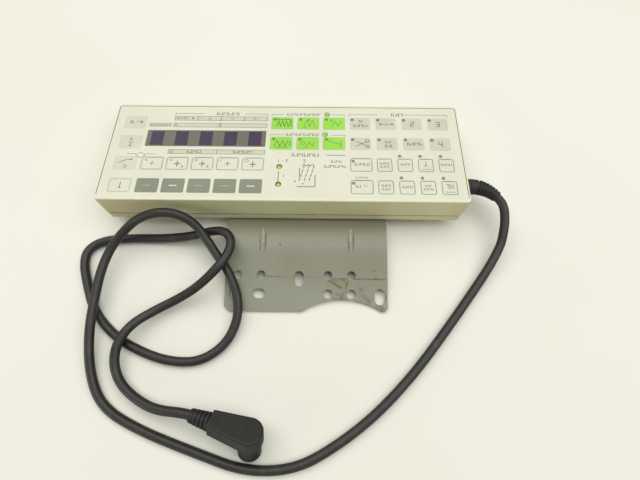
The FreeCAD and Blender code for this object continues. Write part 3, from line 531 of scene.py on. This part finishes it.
class Print:
    """Flat marks in mm on the face, gathered into one thin raised mesh."""

    def __init__(self, x=0.0, y=0.0, level=0.0, top=ink_top):
        self.mesh = bmesh.new()
        self.x = x
        self.y = y
        self.levels = (level + ink_low, level + top)

    def ring_of(self, outline, level):
        return [self.mesh.verts.new((self.x + x, self.y + y, level)) for x, y in outline]

    def walls(self, low, top):
        for i in range(len(low)):
            j = (i + 1) % len(low)
            self.mesh.faces.new((low[i], low[j], top[j], top[i]))

    def fill(self, outline):
        low, top = [self.ring_of(outline, level) for level in self.levels]
        self.mesh.faces.new(top)
        self.mesh.faces.new(low[::-1])
        self.walls(low, top)

    def band(self, outer, inner):
        """A closed line between two outlines with as many points."""
        outer_low, outer_top = [self.ring_of(outer, level) for level in self.levels]
        inner_low, inner_top = [self.ring_of(inner, level) for level in self.levels]
        self.walls(outer_low, outer_top)
        self.walls(inner_top, inner_low)
        self.walls(outer_top, inner_top)
        self.walls(inner_low, outer_low)

    def bar(self, x, y, width, height):
        w, h = width / 2, height / 2
        self.fill(((x - w, y - h), (x + w, y - h), (x + w, y + h), (x - w, y + h)))

    def block(self, x, y, width, height, corner):
        self.fill(rounded_outline(x, y, width, height, corner))

    def frame(self, x, y, width, height, corner, line=line_width):
        self.band(
            rounded_outline(x, y, width, height, corner),
            rounded_outline(x, y, width - 2 * line, height - 2 * line, corner - line),
        )

    def dot(self, x, y, radius):
        self.fill(circle_outline(x, y, radius))

    def ring(self, x, y, radius, width=line_width):
        self.band(circle_outline(x, y, radius + width / 2), circle_outline(x, y, radius - width / 2))

    def lens(self, x, y):
        """The mark over a small lamp."""
        self.ring(x, y, lens_ring, lens_line)
        self.dot(x, y, lens_dot)

    def line(self, x0, y0, x1, y1, width=line_width):
        length = math.hypot(x1 - x0, y1 - y0)
        dx, dy = (x1 - x0) / length * width / 2, (y1 - y0) / length * width / 2
        self.fill((
            (x0 - dx + dy, y0 - dy - dx), (x1 + dx + dy, y1 + dy - dx),
            (x1 + dx - dy, y1 + dy + dx), (x0 - dx - dy, y0 - dy + dx),
        ))

    def path(self, points, width=line_width):
        for (x0, y0), (x1, y1) in zip(points, points[1:]):
            self.line(x0, y0, x1, y1, width)

    def zigzag(self, x0, x1, y0, y1, turns, width=line_width):
        step = (x1 - x0) / turns
        self.path([(x0 + step * i, y1 if i % 2 else y0) for i in range(turns + 1)], width)

    def dashes(self, x0, y0, x1, y1, count, width=line_width):
        """A line broken into dashes, from the start of the first to the end of the last."""
        total = count - (1 - dash_share)
        for i in range(count):
            start, end = i / total, (i + dash_share) / total
            self.line(
                x0 + (x1 - x0) * start, y0 + (y1 - y0) * start,
                x0 + (x1 - x0) * end, y0 + (y1 - y0) * end, width,
            )

    def arrow(self, x0, y0, x1, y1, head, width=line_width):
        self.line(x0, y0, x1, y1, width)
        length = math.hypot(x1 - x0, y1 - y0)
        dx, dy = (x1 - x0) / length * head, (y1 - y0) / length * head
        self.fill(((x1 + dx, y1 + dy), (x1 - dy, y1 + dx), (x1 + dy, y1 - dx)))

    def number(self, value, x, y, height, width=line_width):
        """A plain numeral of straight strokes, centred on a spot."""
        unit = height / 2
        for stroke in numeral_strokes[value]:
            self.path([(x + (u - 0.5) * unit, y + (v - 1) * unit) for u, v in stroke], width)

    def strokes(self, x, y, length, height):
        """A row of short strokes, centred on a spot, of which every third lies across."""
        pitch = max(least_pitch, stroke_pitch * height)
        width = stroke_weight * pitch
        count = round(length / pitch)
        for i in range(count):
            spot = x + (i + 0.5 - count / 2) * pitch
            if i % 3 == 2:
                side = stroke_across if i % 2 else -stroke_across
                self.bar(spot, y + height * side, pitch, width)
            else:
                self.bar(spot, y, width, height)

    def rule(self, x0, x1, y, tick):
        """A fine line with a tick down at one place."""
        self.line(x0, y, x1, y, fine_line)
        self.line(tick, y, tick, y - rule_tick, fine_line)

    def draw(self, marks):
        """Rows of marks, each the name of a mark and its values."""
        for mark, *values in marks:
            getattr(self, mark)(*values)

    def place(self, name, body, material, slot):
        data = bpy.data.meshes.new(name)
        bmesh.ops.transform(self.mesh, matrix=from_face, verts=self.mesh.verts)
        self.mesh.to_mesh(data)
        self.mesh.free()
        data.materials.append(material)
        piece = bpy.data.objects.new(name, data)
        bpy.context.scene.collection.objects.link(piece)
        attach(piece, body)


def circle_outline(x, y, radius, sides=24):
    turns = [2 * math.pi * i / sides for i in range(sides)]
    return [(x + radius * math.cos(a), y + radius * math.sin(a)) for a in turns]


def rounded_outline(x, y, width, height, corner, steps=4):
    points = []
    for i, (sx, sy) in enumerate(((1, 1), (-1, 1), (-1, -1), (1, -1))):
        cx, cy = x + sx * (width / 2 - corner), y + sy * (height / 2 - corner)
        for k in range(steps + 1):
            a = math.pi / 2 * (i + k / steps)
            points.append((cx + corner * math.cos(a), cy + corner * math.sin(a)))
    return points


def top_of(name, tolerance=0.05):
    """Centre, size and level of a node's top, in mm on the face."""
    spots = [to_face @ v.co for v in nodes[name].data.vertices]
    level = max(spot.z for spot in spots)
    top = [spot for spot in spots if spot.z > level - tolerance]
    xs, ys = [p.x for p in top], [p.y for p in top]
    middle = ((min(xs) + max(xs)) / 2, (min(ys) + max(ys)) / 2)
    return (*middle, max(xs) - min(xs), max(ys) - min(ys), level)


# Marks on the keys, in mm from each key's middle
plus_sign = [("bar", 0, 0, 3.4, 0.32), ("bar", 0, 0, 0.32, 3.4)]
bold_plus_sign = [("bar", 0, -0.3, 4.0, 0.5), ("bar", 0, -0.3, 0.5, 4.4)]
corner_ring = [("ring", -4.2, 2.6, 0.75, fine_line)]
key_marks = {
    "left_key_1": [("strokes", -2.2, 0.2, 3.4, 2.6), ("arrow", 0.6, 0.2, 3.4, 0.2, 1.3)],
    "left_key_2": [
        ("arrow", 0, 0.5, 0, 2.4, 0.9), ("arrow", 0, -0.8, 0, -2.6, 0.9), ("bar", 0, -0.1, 3.4, 0.28),
    ],
    "left_key_3": [
        ("path", [(-4.4, 0.4), (-2.6, 0.4), (-2.6, 1.5), (-0.8, 1.5), (-0.8, 2.6), (1, 2.6)]),
        ("arrow", 1, 2.6, 3, 2.6, 0.9), ("ring", 0.2, -2.4, 1.0),
    ],
    "left_key_4": [("number", 1, 0.2, 0.2, 4.0, 0.4), ("bar", 0.2, -1.8, 2.0, 0.36)],
    "plus_key_1": plus_sign + [("strokes", -3.8, 2.5, 1.8, 1.3)],
    "plus_key_2": bold_plus_sign + corner_ring + [("number", 2, 3.4, -2.2, 1.6, fine_line)],
    "plus_key_3": bold_plus_sign + corner_ring + [("number", 3, 3.4, -2.2, 1.6, fine_line)],
    "plus_key_4": plus_sign + [("line", -4.9, 2.0, -3.4, 3.2, fine_line)],
    "plus_key_5": bold_plus_sign + [("ring", -4.0, 2.4, 1.1, fine_line)],
    "green_key_1": [
        ("zigzag", -3.6, 5.0, -2.9, 2.2, 7, 0.42), ("line", 5.7, -2.6, 5.7, 2.4, 0.5),
        ("dashes", -3.4, 3.2, 5.0, 3.2, 4, 0.6),
    ],
    "green_key_2": [
        ("zigzag", -2.6, 4.4, -2.6, 2.6, 4), ("dot", 0.2, 2.9, 0.6), ("bar", -2.0, -3.2, 2.0, 0.4),
    ],
    "green_key_3": [("zigzag", -1.4, 4.6, -2.2, 1.8, 3), ("frame", -1.6, 2.5, 1.7, 1.3, 0.4)],
    "green_key_4": [
        ("zigzag", -4.4, 4.4, -2.4, 2.0, 5, 0.42), ("line", 5.5, -2.0, 5.5, 1.6, 0.5),
        ("dashes", -3.4, -3.2, 4.2, -3.2, 4, 0.5),
    ],
    "green_key_5": [
        ("ring", -3.0, 0.3, 1.2), ("zigzag", -0.6, 4.6, -2.4, 1.4, 3), ("bar", -1.2, -3.0, 3.0, 0.36),
    ],
    "green_key_6": [("dashes", -3.4, 2.2, 2.8, -0.4, 3, 0.42), ("line", 4.2, -2.8, 4.2, 1.6, 0.45)],
    "grey_key_1": [("zigzag", -0.8, 1.8, 1.2, 3.2, 3), ("strokes", 0.2, -1.6, 9.0, 2.2)],
    "grey_key_2": [
        ("arrow", -0.6, -0.2, -3.0, -0.2, 1.1), ("arrow", 1.4, -0.2, 3.8, -0.2, 1.1),
        ("bar", 0.4, -0.2, 0.32, 2.6),
    ],
    "grey_key_3": [("number", 2, 0.3, 0.0, 3.8, 0.4)],
    "grey_key_4": [("number", 3, 0.3, 0.0, 3.8, 0.4)],
    "grey_key_5": [
        ("line", -2.8, 1.9, 3.4, -1.4, 0.36), ("line", -2.8, -2.0, 3.4, 1.6, 0.36),
        ("ring", 4.3, 2.2, 1.0, 0.4), ("ring", 4.3, -2.1, 1.0, 0.4),
    ],
    "grey_key_6": [("strokes", 0.8, 1.5, 4.6, 1.9), ("strokes", 0.8, -1.6, 4.6, 2.3)],
    "grey_key_7": [("strokes", 0.6, 0.2, 9.6, 2.6)],
    "grey_key_8": [("number", 4, 0.3, 0.0, 3.8, 0.4)],
    "outline_key_1": [("strokes", 0.4, 0.4, 9.4, 2.1)],
    "outline_key_2": [("strokes", 0, 1.3, 6.4, 1.7), ("strokes", 0, -1.2, 6.0, 1.7)],
    "outline_key_3": [("strokes", 0, 0.6, 5.4, 1.7)],
    "outline_key_4": [
        ("bar", 0, 1.0, 0.34, 3.0), ("bar", 0, -0.4, 2.2, 0.3), ("dashes", -2.4, -3.0, 2.6, -3.0, 3, 0.34),
    ],
    "outline_key_5": [("strokes", 0, 0.6, 6.8, 1.5)],
    "outline_key_6": [("strokes", -2.4, 0.4, 3.6, 2.0), ("bar", 2.0, 0.9, 2.4, 0.26)],
    "outline_key_7": [("strokes", 0, 1.2, 5.6, 1.7), ("strokes", 0, -1.4, 5.2, 1.7)],
    "outline_key_8": [("strokes", 0, 0.3, 6.2, 1.9)],
    "outline_key_9": [("strokes", 0, 1.3, 4.2, 1.5), ("strokes", 0, -1.1, 6.2, 1.5)],
    "outline_key_10": [
        ("path", [(-1.6, 2.6), (0.2, 2.6), (0.2, -0.8)]), ("bar", -0.9, 0.8, 0.3, 2.6),
        ("frame", 1.8, 0.9, 1.6, 2.6, 0.5), ("dashes", -2.4, -3.0, 2.6, -3.0, 4, 0.34),
    ],
}

# Frames, lamp marks and dashes of the keys, in mm from each key's middle or edge, by kind or by key
framed_keys = [name for name in key_names if slot_of[name] == "keys_outline"]
lens_kinds = ("green", "grey")
kind_lens = (-4.9, 3.3)
wide_outline_keys = ("outline_key_1", "outline_key_6")
wide_key_lens = (-5.0, 2.8)
lens_above_keys = tuple("outline_key_%d" % i for i in (3, 4, 5, 8, 9, 10))
lens_above = (-3.0, 6.9)
frame_corner = 1.3
top_line_kinds = ("plus", "outline")
top_line_drop = 0.2
top_line_short = 3.4
top_line_width = 0.3
frame_insets = {"plus": 0.35, "outline": 0.1, "left": 0.35}
frame_lines = {"plus": fine_line, "outline": fine_line, "left": 0.13}
dash_length = 4.6
faint_dash = 0.2
dash_widths = {"minus_key_2": 0.65, "minus_key_5": 0.65}


def print_keys():
    """The marks of each key, on the key's own body."""
    for name in key_names:
        x, y, width, height, level = top_of(name)
        kind = name.split("_key_")[0]
        marks = Print(x, y, level)
        if kind == "minus":
            marks.bar(0, 0, dash_length, dash_widths.get(name, faint_dash))
            marks.place(name + "_print", name, white_ink, slot_of[name])
            continue
        if name in framed_keys:
            inset = frame_insets[kind]
            marks.frame(0, 0, width - 2 * inset, height - 2 * inset, frame_corner, frame_lines[kind])
            if kind in top_line_kinds:
                marks.bar(0, height / 2 - inset - top_line_drop, width - top_line_short, top_line_width)
        if kind in lens_kinds:
            marks.lens(*kind_lens)
        if name in wide_outline_keys:
            marks.lens(*wide_key_lens)
        marks.draw(key_marks[name])
        marks.place(name + "_print", name, leaf_ink if kind == "green" else dark_ink, slot_of[name])


# Boxes on the film, in mm on the face: their ends, the lower and upper edge of each, and their dividers
box_low, box_high = -72.6, -12.4
upper_box, middle_box, lower_box = (61.1, 64.4), (55.4, 58.6), (33.8, 37.0)
upper_dividers = (-57.4, -42.5, -27.4)
upper_divider_drop = 0.6
lower_divider = -42.3

# A shaded block beside the middle box, with two rows of strokes
block_low, block_high = -88.0, -74.2
block_margin = 0.5
block_height = 3.4
block_rows = (0.9, 2.3)
block_stroke = 1.1

# Marks on the film, in mm on the face
film_marks = [
    ("rule", box_low, -54.3, 66.8, box_low), ("rule", -26.8, box_high, 66.8, box_high),
    ("strokes", -38.5, 66.8, 15, 2.6),
    ("ring", -70.4, 62.8, 0.8, fine_line), ("strokes", -66.6, 62.8, 4.6, 1.6), ("dot", -61.0, 62.8, 0.6),
    ("strokes", -49.8, 62.7, 2.4, 1.5),
    ("strokes", -35.0, 62.9, 2.4, 1.2), ("strokes", -20.2, 62.9, 2.4, 1.2),
    ("ring", -71.0, 57.0, 0.7, fine_line), ("ring", -42.9, 57.0, 0.8, fine_line),
    ("ring", -70.6, 35.4, 1.0), ("strokes", -56.6, 35.4, 9.6, 2.2), ("strokes", -26.4, 35.4, 12, 2.2),
    ("line", -97.8, 33.5, -92.6, 33.5, fine_line), ("line", -86.0, 33.5, -80.5, 33.5, fine_line),
    ("path", [(-92.4, 32.6), (-89.3, 34.8), (-86.2, 32.6), (-89.3, 30.4), (-92.4, 32.6)], fine_line),
    ("rule", -9.7, -1.8, 66.7, -9.7), ("rule", 29.2, 37.6, 66.7, 37.6), ("strokes", 11.0, 66.7, 22, 2.2),
    ("rule", -9.9, -1.0, 49.6, -9.9), ("rule", 29.3, 37.8, 49.6, 37.8), ("strokes", 10.6, 49.9, 21, 2.2),
    ("strokes", 12.9, 33.6, 18, 2.6), ("line", 26.0, 33.6, 37.6, 33.6, 0.4),
    ("strokes", 32.2, 28.7, 7.4, 1.9), ("strokes", 31.4, 25.0, 14, 2.2),
    ("rule", 40.7, 59.1, 67.0, 40.7), ("rule", 76.6, 104.4, 67.0, 104.4), ("strokes", 71.9, 67.0, 7.8, 2.8),
    ("strokes", 47.4, 16.9, 7.4, 1.4),
    ("line", -3.0, 13.2, -3.0, 20.8, 0.42), ("number", 1, 0.2, 17.8, 2.0, fine_line),
    ("line", -3.4, 28.0, -3.4, 30.0, fine_line), ("bar", -0.6, 28.8, 1.0, fine_line),
    ("number", 2, 1.5, 29.0, 2.0, fine_line), ("number", 3, 12.4, 29.0, 2.2, fine_line),
    ("path", [(8.8, 9.9), (19.3, 9.9), (19.3, 18.4)], 0.45), ("line", 9.8, 16.8, 9.8, 23.4, 0.4),
    ("dashes", 12.6, 25.4, 9.8, 14.4, 4, 0.45), ("dashes", 15.6, 25.4, 12.8, 14.4, 4, 0.45),
    ("dashes", 18.6, 25.4, 15.8, 14.4, 4, 0.45), ("zigzag", 11.2, 18.8, 25.2, 26.5, 6, 0.36),
    ("dot", 7.2, 13.8, 0.45), ("dot", 12.0, 12.0, 0.45),
]
green_spots = ((26.4, 66.8), (25.0, 50.0))
green_spot_radius = 1.55
green_spot_gap = 0.2


def print_film():
    """The lines, shaded boxes and green spots of the film."""
    lines = Print()
    lines.draw(film_marks)
    for low, high in (upper_box, middle_box, lower_box):
        corners = ((box_low, low), (box_high, low), (box_high, high), (box_low, high))
        lines.path(corners + corners[:1], fine_line)
    for x in upper_dividers:
        lines.line(x, upper_box[0] - upper_divider_drop, x, upper_box[1], line_width)
    for low, high in (middle_box, lower_box):
        lines.line(lower_divider, low, lower_divider, high, fine_line)
    block_middle = (block_low + block_high) / 2
    for row in block_rows:
        lines.strokes(block_middle, middle_box[0] + row, block_high - block_low, block_stroke)
    for name in key_names:
        if name in lens_above_keys:
            x, y, *_ = top_of(name)
            lines.lens(x + lens_above[0], y + lens_above[1])
    for x, y in green_spots:
        lines.ring(x, y, green_spot_radius + green_spot_gap, fine_line)
    lines.place("film_lines", "panel", dark_ink, "film")

    shade = Print(top=ink_top / 2)
    for low, high in (upper_box, middle_box, lower_box):
        shade.bar((box_low + box_high) / 2, (low + high) / 2, box_high - box_low, high - low)
    block_width = block_high - block_low + 2 * block_margin
    shade.bar(block_middle, sum(middle_box) / 2, block_width, block_height)
    shade.place("film_boxes", "panel", pale_ink, "film")

    spots = Print()
    for x, y in green_spots:
        spots.dot(x, y, green_spot_radius)
    spots.place("film_green_spots", "panel", green_ink, "film")


def print_digits():
    """Dark filters over the digits behind the window, with the digits' faint segments."""
    x, y, *_, level = top_of("display_window")
    filters = Print(x, y, level, ink_top / 2)
    segments = Print(x, y, level)
    for i in range(digit_count):
        spot = (i - (digit_count - 1) / 2) * digit_pitch
        filters.block(spot, 0, *digit_filter_size, digit_filter_corner)
        segments.number(8, spot, 0, digit_height, digit_stroke)
    filters.place("digit_filters", "panel", digit_filter(), "window")
    segments.place("digit_segments", "panel", segment_ink, "window")


def make_lead():
    """The lead as a cord along its route, in place of the rigid tube."""
    curve = bpy.data.curves.new("lead_cord", "CURVE")
    curve.dimensions = "3D"
    spline = curve.splines.new("NURBS")
    spline.points.add(len(lead_route) - 1)
    for point, spot in zip(spline.points, lead_route):
        point.co = (*[v * mm for v in spot], 1.0)
    spline.order_u = 3
    spline.use_endpoint_u = True
    curve.resolution_u = 10
    curve.bevel_depth = lead_radius * mm
    curve.bevel_resolution = 7
    curve.use_fill_caps = True
    curve.materials.append(lead_material)
    cord = bpy.data.objects.new("lead_cord", curve)
    bpy.context.scene.collection.objects.link(cord)
    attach(cord, "panel")
    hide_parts("lead")


def make_stage():
    """A plain floor."""
    floor_data = bpy.data.meshes.new("floor")
    sides = ((-1, -1), (1, -1), (1, 1), (-1, 1))
    corners = [(x * floor_reach, y * floor_reach, 0) for x, y in sides]
    floor_data.from_pydata(corners, [], [(0, 1, 2, 3)])
    floor_data.materials.append(floor_paper())
    floor = bpy.data.objects.new("floor", floor_data)
    bpy.context.scene.collection.objects.link(floor)


def add_light(name, place, aim, size, power):
    data = bpy.data.lights.new(name, "AREA")
    data.shape = "RECTANGLE"
    data.size, data.size_y = size
    data.energy = power
    lamp = bpy.data.objects.new(name, data)
    lamp.location = place
    lamp.rotation_euler = (Vector(aim) - Vector(place)).to_track_quat("-Z", "Y").to_euler()
    bpy.context.scene.collection.objects.link(lamp)


def make_lights():
    """The two lamps, and a pale world that is dim where it only fills the shade."""
    world = bpy.data.worlds.new("studio")
    world.use_nodes = True
    tree = world.node_tree
    fill = tree.nodes["Background"]
    fill.inputs["Color"].default_value = world_color
    fill.inputs["Strength"].default_value = fill_strength
    seen = tree.nodes.new("ShaderNodeBackground")
    seen.inputs["Color"].default_value = world_color
    rays = tree.nodes.new("ShaderNodeLightPath")
    share = rays.outputs["Is Camera Ray"]
    for name in ("Is Glossy Ray", "Is Transmission Ray"):
        either = tree.nodes.new("ShaderNodeMath")
        either.operation = "MAXIMUM"
        tree.links.new(share, either.inputs[0])
        tree.links.new(rays.outputs[name], either.inputs[1])
        share = either.outputs["Value"]
    mixed = tree.nodes.new("ShaderNodeMixShader")
    tree.links.new(share, mixed.inputs["Fac"])
    tree.links.new(fill.outputs["Background"], mixed.inputs[1])
    tree.links.new(seen.outputs["Background"], mixed.inputs[2])
    tree.links.new(mixed.outputs["Shader"], tree.nodes["World Output"].inputs["Surface"])
    bpy.context.scene.world = world
    add_light("overhead", lamp_place, lamp_aim, lamp_size, lamp_power)
    add_light("side", side_place, lamp_aim, side_size, side_power)


def make_camera():
    data = bpy.data.cameras.new("camera")
    data.sensor_fit = "HORIZONTAL"
    data.sensor_width = sensor_width
    data.lens = camera_lens
    data.clip_start = 0.01
    camera = bpy.data.objects.new("camera", data)
    camera.location = camera_place
    camera.rotation_euler = [math.radians(a) for a in camera_turn]
    bpy.context.scene.collection.objects.link(camera)
    bpy.context.scene.camera = camera


make_camera()
print_keys()
print_film()
print_digits()
make_lead()
make_stage()
make_lights()
bpy.context.scene.view_settings.view_transform = "Standard"
